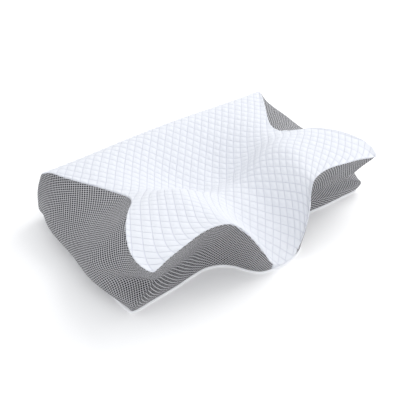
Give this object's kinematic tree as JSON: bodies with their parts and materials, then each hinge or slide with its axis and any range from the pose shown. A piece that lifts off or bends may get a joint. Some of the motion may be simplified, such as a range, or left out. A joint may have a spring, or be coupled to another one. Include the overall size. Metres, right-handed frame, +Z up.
{
  "type": "contoured neck pillow",
  "caption": "Butterfly-shaped contoured foam neck pillow with raised wings, a head hollow, a sloping front lip, mesh sides and a zipped quilted cover.",
  "frame": {"origin": "middle of the footprint on the ground, under the pillow's flat base", "axes": "+Z up, +X across the pillow to its right wing, +Y towards the straight back edge"},
  "size_m": [0.659, 0.4326, 0.1437],
  "materials": {
    "foam": "soft off-white memory foam, fine open cells, fully matt",
    "liner": "thin off-white stretch knit, matt",
    "quilted_knit": "cool white knit, quilted in puffed diamonds, soft and matt",
    "plain_knit": "plain white knit, matt",
    "mesh_fabric": "black and white dotted air mesh that reads as mid grey, matt",
    "zip_tape": "dark grey woven zip tape",
    "zip_teeth": "dark grey nylon coil, satin",
    "zip_metal": "brushed grey metal, satin",
    "label_satin": "blank white satin ribbon"
  },
  "bodies": {
    "pillow": {"foam_core": "foam", "liner_upper": "liner", "liner_base": "liner", "top_panel": "quilted_knit", "base_panel": "plain_knit", "side_panel_left": "mesh_fabric", "side_panel_right": "mesh_fabric", "front_panel_left": "mesh_fabric", "front_panel_right": "mesh_fabric", "back_panel_upper": "mesh_fabric", "back_panel_lower": "mesh_fabric", "zip_tape_upper": "zip_tape", "zip_tape_lower": "zip_tape", "zip_teeth_upper": "zip_teeth", "zip_teeth_lower": "zip_teeth", "zip_top_stop_upper": "zip_metal", "zip_top_stop_lower": "zip_metal", "zip_bottom_stop": "zip_metal", "care_label": "label_satin"},
    "slider": {"zip_slider": "zip_metal"},
    "pull_tab": {"zip_pull_tab": "zip_metal"}
  },
  "joints": [
    {"name": "zip_slide", "type": "slide", "parent": "pillow", "child": "slider", "axis": [-1, 0, 0], "range_m": [0, 0.496]},
    {"name": "pull_tab_hinge", "type": "hinge", "parent": "slider", "child": "pull_tab", "pos_m": [0.248, 0.21445, 0.0346], "axis": [0, 0, -1], "range_deg": [0, 175]}
  ]
}
